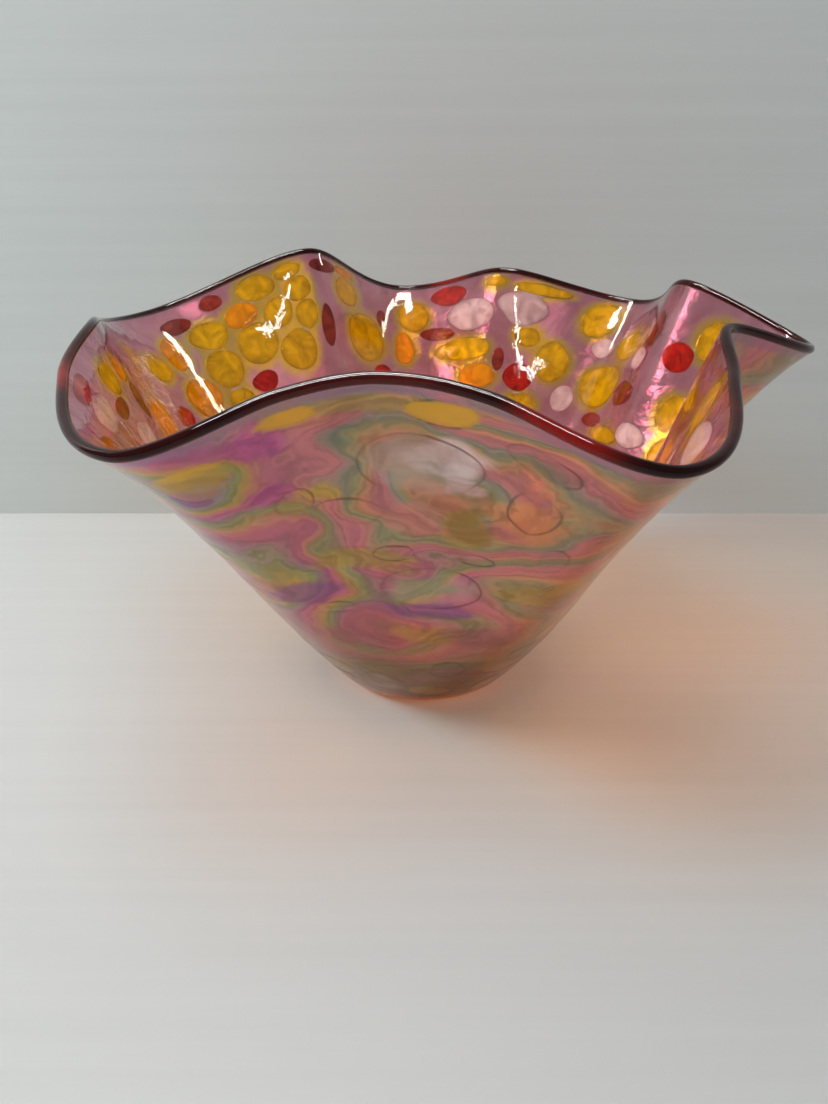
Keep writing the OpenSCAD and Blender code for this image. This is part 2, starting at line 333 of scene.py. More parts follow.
def part_chips(chips):
    """Draws edges back where two chips would touch."""
    way = 2 * math.pi * np.arange(EDGE_STEPS) / EDGE_STEPS
    for _ in range(4):
        for chip in chips:
            angle, share = chip_outline(chip, way, 1.0)
            gap = np.full(EDGE_STEPS, CHIP_FAR)
            for other in chips:
                turn = abs(turned_from(other["centre"][0], chip["centre"][0])) * chip["turn_mm"]
                rise = abs(other["centre"][1] - chip["centre"][1]) * chip["share_mm"]
                if other is not chip and turn < TOUCH_REACH[0] and rise < TOUCH_REACH[1]:
                    gap = np.minimum(gap, chip_distance(other, angle, share))
            far = np.hypot(*(chip["shape"] @ np.stack([np.cos(way), np.sin(way)]))) * chip["radii"]
            pull = np.maximum(0, CHIP_GAP - gap) / far * 0.6
            pull = np.maximum(pull, (np.roll(pull, 1) + np.roll(pull, -1)) * 0.4)
            chip["radii"] = chip["radii"] * (1 - np.minimum(pull, 0.2))


def chip_faces(start, rings):
    """Faces of one side, whose points begin at that one; both sides share the outer ring."""
    def at(ring, spoke):
        first = 1 if ring == rings - 1 else start + 1
        return first + ring * CHIP_SPOKES + spoke % CHIP_SPOKES

    faces = []
    for i in range(CHIP_SPOKES):
        faces.append([start, at(0, i), at(0, i + 1)])
        for r in range(rings - 1):
            faces.append([at(r, i), at(r + 1, i), at(r + 1, i + 1), at(r, i + 1)])
    return faces


def chip_solid(chip):
    """Points and faces of a closed, lens-shaped chip inside the wall."""
    rings = np.array(CHIP_RINGS + [1.0])
    way = np.tile(2 * math.pi * np.arange(CHIP_SPOKES) / CHIP_SPOKES, len(rings))
    angle, share = chip_outline(chip, np.append(0, way), np.append(0, np.repeat(rings, CHIP_SPOKES)))
    bulge = np.append(1, np.repeat(np.sqrt(1 - rings**3), CHIP_SPOKES))
    mid, out = middle(angle, share), outward(angle, share)
    centre = OUT_T - OVERLAY_T - FIT - CHIP_T / 2
    half = (CHIP_T / 2 - 0.02) * bulge[:, None]
    outer = mid + (centre + half) * out
    inner = (mid + (centre - half) * out)[:-CHIP_SPOKES]
    faces = chip_faces(0, len(rings))
    faces += [face[::-1] for face in chip_faces(len(mid), len(rings))]
    return np.concatenate([outer, inner]), faces


# ---------- The lustre film's order over the outside ----------

# The wall is about this long, in mm, from the base to the lip.
WALL_LENGTH = 150

# Hills that the bands of colour lie round: angle, share, cycles of colour up the hill, its
# reach in mm, and how far the colours there are magenta, violet and green, not salmon and orange.
FILM_HILLS = np.array([
    [-91, 0.71, -3.1, 22, 0.0], [-121, 0.86, -1.2, 12, 1.0], [-89, 0.42, 1.1, 14, 1.0],
    [-117, 0.44, 0.8, 14, 0.9], [-104, 0.32, -0.6, 16, 0.7], [-71, 0.56, 0.5, 14, 0.1],
    [-71, 0.91, -0.7, 13, 0.0], [-62, 0.28, 0.5, 20, 0.1], [-45, 0.60, 0.9, 16, 0.1],
    [-34, 0.85, -0.9, 13, 0.2], [-143, 0.72, 1.2, 14, 0.6], [-151, 0.90, -0.8, 13, 0.3],
    [-10, 0.80, 0.9, 15, 0.2], [-113, 0.62, 0.4, 10, 0.6], [-92, 0.16, 0.3, 22, 0.1],
])


def beats(x, y, z, size, rng, count=10):
    """A smooth seeded field between about -1 and 1, with features of that size in mm."""
    total = np.zeros_like(x)
    for _ in range(count):
        way = unit(rng.normal(size=3))
        pitch = size * rng.uniform(0.7, 1.6)
        along = (x * way[0] + y * way[1] + z * way[2]) * 2 * math.pi / pitch
        total += np.sin(along + rng.uniform(0, 6.28))
    return total / math.sqrt(count / 2)


def film_bands(angle, share, points):
    """The film's cycle over the outside, and the share of cool colours there."""
    rng = np.random.default_rng(7)
    # Features are wider than they are tall.
    x, y, z = points[..., 0] * 0.75, points[..., 1] * 0.75, points[..., 2] * 1.25
    warp = [beats(x, y, z, 26, rng) * 2.6 + beats(x, y, z, 11, rng) * 0.9 for _ in range(2)]
    bands = 0.50 * beats(x, y, z, 82, rng) + 0.10 * beats(x, y, z, 30, rng)
    cool = 0.04 * np.clip(0.28 + 0.45 * beats(x, y, z, 85, rng), 0, 1)
    weight = 0.04
    for spot in FILM_HILLS:
        place = middle(spot[0], spot[1])
        reach = np.hypot(place[0], place[1]) * math.pi / 180
        dx = turned_from(angle, spot[0]) * reach + warp[0]
        dy = (share - spot[1]) * WALL_LENGTH + warp[1]
        hill = np.exp(-(dx**2 + dy**2) / (2 * spot[3] ** 2))
        bands = bands + spot[2] * hill
        cool = cool + hill * spot[4]
        weight = weight + hill
    return bands, np.clip(cool / weight, 0, 1)


# Patches where the film has one clear colour: angle, share, width and height in mm, colour.
FILM_PATCHES = [
    # The near-white patch at -87.5 degrees is partly an opal chip's own pale colour and partly a
    # painted highlight, a lamp's reflection painted into the film.
    (-94, 0.80, 13, 8, (0.50, 0.36, 0.22)), (-87.5, 0.80, 11, 8, (1.0, 0.88, 0.84)),
    (-84, 0.735, 6, 4, (0.90, 0.66, 0.62)), (-82.5, 0.63, 7, 8, (0.22, 0.17, 0.05)),
    (-75, 0.70, 9, 8, (0.74, 0.33, 0.13)), (-93, 0.64, 9, 6, (0.70, 0.31, 0.24)),
    (-121, 0.86, 10, 6, (0.52, 0.42, 0.04)), (-120, 0.83, 4, 3, (0.34, 0.36, 0.36)),
    (-113, 0.90, 6, 9, (0.62, 0.13, 0.36)), (-114, 0.74, 5, 5, (0.56, 0.10, 0.36)),
    (-108, 0.71, 5, 4, (0.58, 0.45, 0.05)), (-118, 0.44, 12, 5, (0.30, 0.12, 0.34)),
    (-91, 0.455, 11, 4, (0.28, 0.40, 0.13)), (-89, 0.385, 15, 4, (0.30, 0.10, 0.42)),
    (-106, 0.30, 15, 9, (0.50, 0.15, 0.24)), (-89, 0.30, 10, 5, (0.44, 0.33, 0.06)),
    (-104, 0.53, 16, 4, (0.46, 0.37, 0.08)), (-67, 0.48, 14, 5, (0.50, 0.38, 0.08)),
    (-99, 0.94, 14, 4, (0.46, 0.38, 0.10)), (-60, 0.72, 10, 5, (0.60, 0.42, 0.14)),
    (-50, 0.55, 12, 6, (0.66, 0.40, 0.20)), (-134, 0.50, 12, 7, (0.66, 0.30, 0.30)),
    (-76, 0.30, 12, 6, (0.40, 0.14, 0.16)), (-104, 0.16, 14, 6, (0.30, 0.24, 0.06)),
]


def film_patches(angle, share):
    """The colour of the nearest patches and how much it shows."""
    total = np.zeros((*angle.shape, 3))
    weight = np.zeros(angle.shape) + 1e-6
    strongest = np.zeros(angle.shape)
    for turn, height, wide, tall, colour in FILM_PATCHES:
        place = middle(turn, height)
        reach = np.hypot(place[0], place[1]) * math.pi / 180
        dx = turned_from(angle, turn) * reach / wide
        dy = (share - height) * WALL_LENGTH / tall
        away = np.sqrt(dx**2 + dy**2)
        away += 0.14 * np.sin(2.1 * dx + 3.7 * dy + turn)
        away += 0.09 * np.sin(5.3 * dx - 2.9 * dy)
        share_here = smooth(-away, -1.15, -0.7)
        total += share_here[..., None] * np.array(colour)
        weight += share_here
        strongest = np.maximum(strongest, share_here)
    return total / weight[..., None], 0.8 * strongest


# ---------- Materials ----------


class Recipe:
    """A node material: keeps the tree and adds nodes to it."""

    def __init__(self, name):
        self.material = bpy.data.materials.new(name)
        self.material.use_nodes = True
        self.tree = self.material.node_tree
        self.shader = self.tree.nodes["Principled BSDF"]

    def node(self, kind, inputs=None, **settings):
        made = self.tree.nodes.new(kind)
        for key, value in settings.items():
            setattr(made, key, value)
        for key, value in (inputs or {}).items():
            self.feed(made.inputs[key], value)
        return made

    def feed(self, socket, value):
        if isinstance(value, bpy.types.NodeSocket):
            self.tree.links.new(value, socket)
        else:
            socket.default_value = value

    def set(self, **values):
        for key, value in values.items():
            self.feed(self.shader.inputs[key.replace("_", " ")], value)

    def place(self):
        return self.node("ShaderNodeTexCoord").outputs["Object"]

    def attribute(self, name):
        return self.node("ShaderNodeAttribute", attribute_name=name).outputs["Fac"]

    def noise(self, scale, detail=3.0, rough=0.5, twist=0.0, where=None):
        inputs = {"Scale": scale, "Detail": detail, "Roughness": rough, "Distortion": twist}
        inputs["Vector"] = where or self.place()
        return self.node("ShaderNodeTexNoise", inputs).outputs["Fac"]

    def math(self, operation, a, b=0.0):
        return self.node("ShaderNodeMath", {0: a, 1: b}, operation=operation).outputs[0]

    def remap(self, value, low, high, to_low=0.0, to_high=1.0):
        inputs = {"Value": value, "From Min": low, "From Max": high}
        inputs.update({"To Min": to_low, "To Max": to_high})
        made = self.node("ShaderNodeMapRange", inputs, interpolation_type="SMOOTHSTEP")
        return made.outputs["Result"]

    def ramp(self, value, stops):
        made = self.node("ShaderNodeValToRGB", {"Fac": value})
        bar = made.color_ramp.elements
        bar[0].position, bar[0].color = stops[0][0], (*stops[0][1], 1)
        bar[1].position, bar[1].color = stops[-1][0], (*stops[-1][1], 1)
        for at, colour in stops[1:-1]:
            bar.new(at).color = (*colour, 1)
        return made.outputs["Color"]

    def mix(self, share, a, b, blend="MIX"):
        made = self.node("ShaderNodeMix", data_type="RGBA", blend_type=blend)
        self.feed(made.inputs[0], share)
        self.feed(made.inputs[6], a if isinstance(a, bpy.types.NodeSocket) else (*a, 1))
        self.feed(made.inputs[7], b if isinstance(b, bpy.types.NodeSocket) else (*b, 1))
        return made.outputs[2]

    def darken(self, colour, shade):
        """The colour times one value."""
        grey = self.node("ShaderNodeCombineColor", {0: shade, 1: shade, 2: shade}).outputs[0]
        return self.mix(1.0, colour, grey, "MULTIPLY")

    def let_lamps_through(self, tint):
        """Lamps shine through the glass, tinted, so that its shadow is coloured."""
        clear = self.node("ShaderNodeBsdfTransparent").outputs[0]
        value = tint if isinstance(tint, bpy.types.NodeSocket) else (*tint, 1)
        self.feed(clear.node.inputs["Color"], value)
        shadow = self.node("ShaderNodeLightPath").outputs["Is Shadow Ray"]
        both = self.node("ShaderNodeMixShader", {0: shadow, 1: self.shader.outputs[0], 2: clear})
        self.tree.links.new(both.outputs[0], self.tree.nodes["Material Output"].inputs["Surface"])

    def bump(self, height, distance, strength=1.0):
        inputs = {"Height": height, "Distance": distance, "Strength": strength}
        return self.node("ShaderNodeBump", inputs).outputs["Normal"]


WARM_FILM = [
    (0.00, (0.70, 0.28, 0.27)), (0.16, (0.76, 0.34, 0.18)), (0.32, (0.60, 0.39, 0.17)),
    (0.46, (0.38, 0.38, 0.19)), (0.57, (0.30, 0.35, 0.26)), (0.70, (0.44, 0.30, 0.27)),
    (0.84, (0.66, 0.25, 0.26)), (1.00, (0.70, 0.28, 0.27)),
]
COOL_FILM = [
    (0.00, (0.60, 0.15, 0.36)), (0.18, (0.34, 0.13, 0.38)), (0.34, (0.28, 0.29, 0.34)),
    (0.48, (0.30, 0.42, 0.15)), (0.64, (0.62, 0.47, 0.07)), (0.80, (0.68, 0.32, 0.17)),
    (0.92, (0.64, 0.22, 0.31)), (1.00, (0.60, 0.15, 0.36)),
]


def film_colour(r, order):
    """Interference colours in the film's cycle, with clear patches and streaks along them."""
    cycle = r.math("FRACT", order)
    colour = r.mix(r.attribute("cool"), r.ramp(cycle, WARM_FILM), r.ramp(cycle, COOL_FILM))
    patch = r.node("ShaderNodeAttribute", attribute_name="patch").outputs["Color"]
    colour = r.mix(r.attribute("patch_share"), colour, patch)
    along = {0: r.math("MULTIPLY", order, 5.5), 1: r.math("MULTIPLY", r.noise(26, 2), 5.0)}
    streak = r.noise(1.0, 3, 0.6, 0.4, r.node("ShaderNodeCombineXYZ", along).outputs[0])
    return r.darken(colour, r.remap(streak, 0.3, 0.7, 0.74, 1.24))


def film_lines(r, order):
    """Faint dark lines, broken up by noise, round the chips and between bands of the film."""
    edge = r.math("ABSOLUTE", r.attribute("chip_edge"), 0.0)
    broken = r.remap(r.noise(42, 2), 0.41, 0.61)
    line = r.math("MULTIPLY", r.remap(edge, 0.05, 0.6, 1.0, 0.0), broken)
    seam = r.math("ABSOLUTE", r.math("SUBTRACT", r.math("FRACT", order), 0.52), 0.0)
    broken = r.remap(r.noise(33, 3), 0.5, 0.68)
    seam = r.math("MULTIPLY", r.remap(seam, 0.0, 0.035, 1.0, 0.0), broken)
    return r.math("MAXIMUM", line, r.math("MULTIPLY", seam, 0.35))


def film_layers(r, colour, low, dark, back):
    """What lies over the film's own colour, from the amber low body, darkened toward the bottom as
    painted shade, and a painted orange glow at the foot, to the view from inside.
    """
    rise = r.attribute("rise")
    # The low body's amber is partly the glass's own colour and partly painted shade, dark and darker
    # toward the bottom.
    amber = r.mix(r.remap(r.noise(48, 3), 0.35, 0.65), (0.19, 0.062, 0.012), (0.17, 0.10, 0.02))
    # Over opal chips the film is paler: partly the chips' own pale colour, partly a painted sheen that
    # stands for a lamp's reflection.
    opal_and_sheen = r.math("MULTIPLY", r.attribute("pale"), r.remap(r.noise(70, 3), 0.35, 0.65, 0.05, 0.35))
    layers = [
        (r.math("MULTIPLY", low, 0.9), amber),
        (r.math("MULTIPLY", dark, 0.62), (0.15, 0.08, 0.09)),
        (opal_and_sheen, (0.80, 0.66, 0.62)),
        (r.math("MULTIPLY", r.attribute("gold"), 0.3), (0.62, 0.42, 0.05)),
        (r.math("MULTIPLY", r.attribute("bare"), 0.85), (1.0, 0.66, 0.03)),
        (r.math("MULTIPLY", r.remap(rise, 0.955, 0.972), 0.6), (0.40, 0.24, 0.42)),
        # Painted glow: an orange band at the foot of the wall stands for light passed through the
        # foot.
        (r.remap(rise, -0.01, 0.022, 0.8, 0.0), (0.85, 0.20, 0.02)),
        (r.math("MULTIPLY", back, 0.72), (1.0, 0.97, 0.97)),
    ]
    for share, over in layers:
        colour = r.mix(share, colour, over)
    return colour


def lustre_material():
    """The outside: a satin metallic film over clear glass, in bands of interference colour."""
    r = Recipe("lustre_film")
    fine = r.math("MULTIPLY", r.math("SUBTRACT", r.noise(130, 5, 0.6, 1.0), 0.5), 0.5)
    order = r.math("ADD", r.attribute("film"), fine)
    low = r.remap(r.attribute("rise"), 0.04, 0.42, 1.0, 0.0)
    dark = film_lines(r, order)
    back = r.node("ShaderNodeNewGeometry").outputs["Backfacing"]
    colour = film_layers(r, film_colour(r, order), low, dark, back)
    film = r.remap(r.noise(40, 3), 0.3, 0.7, 0.55, 0.72)
    film = r.math("MULTIPLY", film, r.remap(r.attribute("bare"), 0.0, 1.0, 1.0, 0.7))
    film = r.math("MAXIMUM", film, r.remap(r.attribute("rise"), 0.03, 0.42, 0.92, 0.0))
    film = r.math("MULTIPLY", film, r.math("SUBTRACT", 1.0, r.math("MULTIPLY", back, 0.75)))
    ripple = r.noise(95, 5, 0.6, 1.2)
    rough = r.remap(ripple, 0.3, 0.7, 0.13, 0.26)
    rough = r.math("MULTIPLY", rough, r.math("SUBTRACT", 1.0, r.math("MULTIPLY", back, 0.8)))
    height = r.math("ADD", ripple, r.math("MULTIPLY", dark, -0.6))
    r.set(Base_Color=colour, Metallic=film, Roughness=rough, IOR=1.5, Transmission_Weight=0.92)
    r.set(Coat_Weight=0.3, Coat_Roughness=0.04, Normal=r.bump(height, 0.0003))
    r.let_lamps_through(r.mix(low, (0.95, 0.71, 0.42), (0.50, 0.34, 0.22)))
    return r.material


def ground_material():
    """The rose-coloured inner face of the outer layer, paler where a chip lies on it."""
    r = Recipe("rose_ground")
    cloud = r.noise(55, 4, 0.6, 0.8)
    stops = [(0.3, (0.48, 0.10, 0.17)), (0.5, (0.60, 0.16, 0.25)), (0.7, (0.72, 0.25, 0.36))]
    rose = r.ramp(cloud, stops)
    low = r.remap(r.node("ShaderNodeSeparateXYZ", {0: r.place()}).outputs["Z"], 0.01, 0.055, 1.0, 0.0)
    rose = r.mix(low, rose, (0.52, 0.18, 0.04))
    rose = r.mix(r.math("MULTIPLY", r.attribute("smear"), 0.95), rose, (0.72, 0.40, 0.004))
    over_chip = r.remap(r.attribute("chip_edge"), -1.6, -0.2, 1.0, 0.0)
    colour = r.mix(over_chip, rose, (0.98, 0.94, 0.88))
    r.set(Base_Color=colour, IOR=1.01, Roughness=0.0, Transmission_Weight=1.0)
    r.let_lamps_through(r.mix(over_chip, (0.97, 0.80, 0.52), (1.0, 0.97, 0.90)))
    return r.material


def hidden_material():
    """A face fused to its neighbour, which hardly bends or reflects light."""
    r = Recipe("fused_face")
    tint = r.ramp(r.noise(30, 2), [(0.3, (0.97, 0.93, 0.93)), (0.7, (1.0, 0.97, 0.97))])
    r.set(Base_Color=tint, IOR=1.01, Roughness=0.0, Transmission_Weight=1.0)
    r.let_lamps_through(tint)
    return r.material


def inside_material():
    """The fire-polished inside, with slow ripples and a faint fine unevenness."""
    r = Recipe("polished_inside")
    tint = r.ramp(r.noise(22, 3), [(0.3, (0.93, 0.82, 0.84)), (0.7, (0.98, 0.90, 0.91))])
    ripple = r.noise(38, 2, 0.4, 0.4)
    fine = r.noise(150, 3, 0.5, 1.5)
    height = r.math("ADD", ripple, r.math("MULTIPLY", fine, 0.10))
    r.set(Base_Color=tint, IOR=1.5, Roughness=0.03, Transmission_Weight=1.0)
    r.set(Normal=r.bump(height, 0.0009))
    r.let_lamps_through(tint)
    return r.material


def chip_material(name, deep, bright, body):
    """Coloured glass: denser toward the edge and mottled, with that much of it clear."""
    r = Recipe(name)
    mottle = r.noise(130, 4, 0.6, 1.0)
    colour = r.ramp(mottle, [(0.32, deep), (0.62, bright)])
    rim = r.math("POWER", r.attribute("rim"), 7.0)
    colour = r.mix(r.math("MULTIPLY", rim, 0.2), colour, tuple(c * 0.6 for c in deep))
    r.set(Base_Color=colour, IOR=1.04, Transmission_Weight=body)
    r.set(Roughness=r.remap(mottle, 0.3, 0.7, 0.12, 0.25))
    r.let_lamps_through(tuple(0.35 + 0.65 * c**0.5 for c in bright))
    return r.material


def lip_material():
    """The fire-polished lip, dark garnet, and redder over the red chips."""
    r = Recipe("garnet_lip")
    stops = [(0.35, (0.020, 0.002, 0.002)), (0.6, (0.055, 0.006, 0.005)), (0.75, (0.13, 0.014, 0.008))]
    colour = r.mix(r.attribute("red"), r.ramp(r.noise(28, 3, 0.5, 0.5), stops), (0.26, 0.012, 0.008))
    r.set(Base_Color=colour, IOR=1.33, Roughness=0.04, Transmission_Weight=0.45)
    r.set(Normal=r.bump(r.noise(60, 2), 0.0003))
    r.let_lamps_through((0.75, 0.5, 0.45))
    return r.material


def base_material(name, rough):
    """Amber glass of the foot, ground underneath and polished above."""
    r = Recipe(name)
    stops = [(0.35, (0.86, 0.33, 0.06)), (0.65, (0.93, 0.48, 0.14))]
    r.set(Base_Color=r.ramp(r.noise(45, 3, 0.5, 0.6), stops), IOR=1.5, Transmission_Weight=1.0)
    r.set(Roughness=r.remap(r.noise(400, 4), 0.3, 0.7, rough, rough * 1.6))
    r.let_lamps_through((0.62, 0.38, 0.20))
    return r.material


# ---------- The pieces ----------

CHIP_GLASS = {
    "yellow": ((0.50, 0.31, 0.001), (0.80, 0.54, 0.002), 0.8),
    "amber": ((0.60, 0.25, 0.001), (0.88, 0.43, 0.003), 0.8),
    "red": ((0.32, 0.008, 0.003), (0.64, 0.026, 0.006), 0.8),
    "garnet": ((0.16, 0.016, 0.012), (0.40, 0.06, 0.03), 0.75),
    "opal": ((0.52, 0.36, 0.35), (0.74, 0.58, 0.56), 0.72),
}


def build_chips():
    """One piece for each CAD node of chips; returns all the outlines with their colours."""
    rng = np.random.default_rng(3)
    glass = {c: chip_material(c + "_chip", *CHIP_GLASS[c]) for c in CHIP_GLASS}
    nodes = sorted(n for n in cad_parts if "_chips_" in n)
    groups = {node: [read_chip(*part, rng) for part in loose_parts(node)] for node in nodes}
    part_chips([chip for node in nodes for chip in groups[node]])
    rings = np.append(0, np.repeat(CHIP_RINGS + [1.0], CHIP_SPOKES))
    rings = np.append(rings, rings[:len(rings) - CHIP_SPOKES])
    found = []
    for node in nodes:
        colour = node.split("_")[0]
        points, faces, start = [], [], 0
        for chip in groups[node]:
            found.append((colour, chip))
            p, f = chip_solid(chip)
            points.append(p)
            faces += [[start + k for k in face] for face in f]
            start += len(p)
        piece = new_piece(node + "_glass", np.concatenate(points), faces, [glass[colour]], sharp=0)
        add_attribute(piece, "rim", np.tile(rings, len(groups[node])))
        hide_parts(node)
    return found


def chip_fields(chips, angle, share):
    """Distance to the nearest chip's edge, and where chips are pale, yellow or smear gold."""
    edge = np.full(angle.shape, CHIP_FAR)
    pale, gold, smear = np.zeros(angle.shape), np.zeros(angle.shape), np.zeros(angle.shape)
    for colour, chip in chips:
        away = turned_from(angle, chip["centre"][0]) * chip["turn_mm"]
        rise = (share - chip["centre"][1]) * chip["share_mm"]
        near = (np.abs(away) < CHIP_REACH[0]) & (np.abs(rise) < CHIP_REACH[1])
        d = chip_distance(chip, angle[near], share[near])
        edge[near] = np.minimum(edge[near], d)
        if colour == "opal":
            pale[near] = np.maximum(pale[near], smooth(-d, 0.0, 4.0))
        if colour == "yellow":
            gold[near] = np.maximum(gold[near], smooth(-d, 0.0, 0.8))
        if colour in ("yellow", "amber"):
            smear[near] = np.maximum(smear[near], smooth(-d, -4.2, -1.2))
    return edge, pale, gold, smear


def build_casing(chips):
    """The outer layer: film outside, slight relief over the chips, rose ground inside."""
    angle = 360 * np.arange(COLUMNS) / COLUMNS
    outer = section_shares(angle, OUTER_HEEL_ROWS, OUTER_WALL_ROWS)
    inner = section_shares(angle, HIDDEN_HEEL_ROWS, HIDDEN_WALL_ROWS)[:, ::-1]
    share = np.concatenate([outer, inner], 1)
    turn = np.repeat(angle[:, None], share.shape[1], 1)
    edge, pale, gold, smear = chip_fields(chips, turn, share)
    film, cool = film_bands(turn, share, middle(turn, share))
    n = outer.shape[1]
    relief = OUTSIDE_BUMP * smooth(-edge, -0.6, 1.8)
    relief -= OUTSIDE_GROOVE * np.exp(-((edge / 1.2) ** 2))
    relief *= smooth(share, 0.02, 0.08) * smooth(-share, -0.985, -0.95)
    depth = np.full(share.shape, OUT_T)
    depth[:, n:] = OUT_T - OVERLAY_T
    depth[:, :n] += relief[:, :n]
    points = middle(turn, share) + depth[..., None] * outward(turn, share)
    faces, j = ring_faces(COLUMNS, share.shape[1])
    kind = np.where(j < n - 1, 0, np.where((j >= n) & (j < share.shape[1] - 1), 1, 2))
    materials = [lustre_material(), ground_material(), hidden_material()]
    piece = new_piece("casing", points.reshape(-1, 3), faces.tolist(), materials, kind)
    patch, patch_share = film_patches(turn, share)
    bare = gold * smooth(share, 0.86, 0.91)
    fields = {"chip_edge": edge, "film": film, "cool": cool, "pale": pale, "gold": gold,
              "smear": smear, "patch_share": patch_share, "bare": bare, "rise": share}
    for name, values in fields.items():
        add_attribute(piece, name, values)
    add_colours(piece, "patch", patch)
    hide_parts("rose_overlay")


def build_gather(chips):
    """The inner layer: fused to the casing outside, fire-polished inside."""
    angle = 360 * np.arange(COLUMNS) / COLUMNS
    outer = section_shares(angle, HIDDEN_HEEL_ROWS, HIDDEN_WALL_ROWS)
    inner = section_shares(angle, INNER_HEEL_ROWS, INNER_WALL_ROWS)[:, ::-1]
    share = np.concatenate([outer, inner], 1)
    turn = np.repeat(angle[:, None], share.shape[1], 1)
    edge = chip_fields(chips, turn, share)[0]
    n = outer.shape[1]
    depth = np.full(share.shape, OUT_T - OVERLAY_T - CHIP_T - 2 * FIT)
    depth[:, n:] = -inner_depth(share[:, n:])
    relief = INSIDE_BUMP * smooth(-edge[:, n:], -1.0, 3.0) * smooth(-share[:, n:], -0.98, -0.94)
    depth[:, n:] -= relief * smooth(share[:, n:], 0.02, 0.1)
    points = middle(turn, share) + depth[..., None] * outward(turn, share)
    faces, j = ring_faces(COLUMNS, share.shape[1])
    kind = np.where((j >= n) & (j < share.shape[1] - 1), 0, 1)
    materials = [inside_material(), hidden_material()]
    piece = new_piece("gather", points.reshape(-1, 3), faces.tolist(), materials, kind)
    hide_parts("clear_gather")


def build_lip(chips):
    """The bead round the rim, seated on the wall's end."""
    angle = 360 * np.arange(COLUMNS) / COLUMNS
    p, o = middle(angle, 1.0), outward(angle, 1.0)
    up = np.cross(o, around(angle, 1.0))
    start = -math.asin(LIP_SEAT / (LIP_D / 2))
    g = start + (math.pi - 2 * start) * np.arange(LIP_STEPS + 1) / LIP_STEPS
    r = LIP_D / 2
    ways = np.cos(g)[None, :, None] * o[:, None] + np.sin(g)[None, :, None] * up[:, None]
    points = p[:, None] + r * ways
    faces, _ = ring_faces(COLUMNS, LIP_STEPS + 1)
    piece = new_piece("lip", points.reshape(-1, 3), faces.tolist(), [lip_material()], sharp=60)
    red = np.zeros(COLUMNS)
    for colour, chip in chips:
        away = turned_from(angle, chip["centre"][0]) * chip["turn_mm"]
        if colour == "red" and chip["centre"][1] > 0.87:
            red = np.maximum(red, np.exp(-((away / 9) ** 4)))
    add_attribute(piece, "red", np.repeat(red, LIP_STEPS + 1))
    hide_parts("lip_bead")


def base_profile():
    """Radius and height in mm, from the middle of the pontil mark to the middle of the dish."""
    r = BASE_R - FIT
    top = BASE_T - FIT
    dish = BASE_T - BASE_DISH
    rest = [(PONTIL_R, 0.06), (PONTIL_R + 1.0, 0.0), (r - 0.5, 0.0), (r - 0.15, 0.15), (r, 0.5)]
    mark = [(PONTIL_R - 12, 1.16), (PONTIL_R - 6, 1.02), (PONTIL_R - 2.4, 0.8), (PONTIL_R - 0.6, 0.35)]
    above = [(r * q, dish + 0.95 * q**3) for q in (0.93, 0.84, 0.72, 0.6, 0.45, 0.3, 0.15)]
    return [(0.0, PONTIL_DEPTH)] + mark + rest + [(r, top)] + above + [(0.0, dish)]


def build_base():
    """The solid foot: a ring to stand on, a ground pontil mark and a dished top."""
    profile = base_profile()
    columns = BASE_COLUMNS
    c = 2 * math.pi * np.arange(columns) / columns
    points, faces, kind = [(0, 0, PONTIL_DEPTH)], [], []
    inner = profile[1:-1]
    for rr, z in inner:
        points += [(rr * math.cos(a), rr * math.sin(a), z) for a in c]
    points.append((0, 0, profile[-1][1]))
    last = len(points) - 1
    side = max(range(len(inner)), key=lambda i: inner[i][0])
    for i in range(columns):
        k = (i + 1) % columns
        faces.append([0, 1 + k, 1 + i])
        kind.append(0)
        for s in range(len(inner) - 1):
            a, b = 1 + s * columns, 1 + (s + 1) * columns
            faces.append([a + i, a + k, b + k, b + i])
            kind.append(0 if s < side else (2 if s == side else 1))
        a = 1 + (len(inner) - 1) * columns
        faces.append([last, a + i, a + k])
        kind.append(1)
    materials = [base_material("ground_foot", 0.12), base_material("foot_top", 0.03)]
    materials.append(hidden_material())
    piece = new_piece("foot", points, faces, materials, kind, sharp=30)
    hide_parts("base_pad")


chips = build_chips()
build_casing(chips)
build_gather(chips)
build_lip(chips)
build_base()

# ---------- Floor, wall and light ----------

WALL_Y = 0.152
WALL_TOP = 1.6
STAGE_SIDE = 2.0
FLOOR_COLOUR = (0.52, 0.535, 0.53)
WALL_COLOUR = (0.59, 0.64, 0.635)


def plane(name, corners, material):
    mesh = bpy.data.meshes.new(name)
    mesh.from_pydata(corners, [], [[0, 1, 2, 3]])
    mesh.materials.append(material)
    made = bpy.data.objects.new(name, mesh)
    bpy.context.scene.collection.objects.link(made)


def stage_material(name, colour, one_sided=False):
    """A matt board with a faint grain; a one-sided board is clear from behind."""
    r = Recipe(name)
    grain = r.node("ShaderNodeMapping", {"Vector": r.place(), "Scale": (3.0, 160.0, 160.0)}).outputs[0]
    shade = r.remap(r.noise(1.0, 4, 0.6, 0.0, grain), 0.2, 0.8, 0.955, 1.0)
    r.set(Base_Color=r.darken(colour, shade), Roughness=0.55)
    if one_sided:
        back = r.node("ShaderNodeNewGeometry").outputs["Backfacing"]
        clear = r.node("ShaderNodeBsdfTransparent").outputs[0]
        out = r.tree.nodes["Material Output"]
        both = r.node("ShaderNodeMixShader", {0: back, 1: r.shader.outputs[0], 2: clear}).outputs[0]
        r.tree.links.new(both, out.inputs["Surface"])
    return r.material


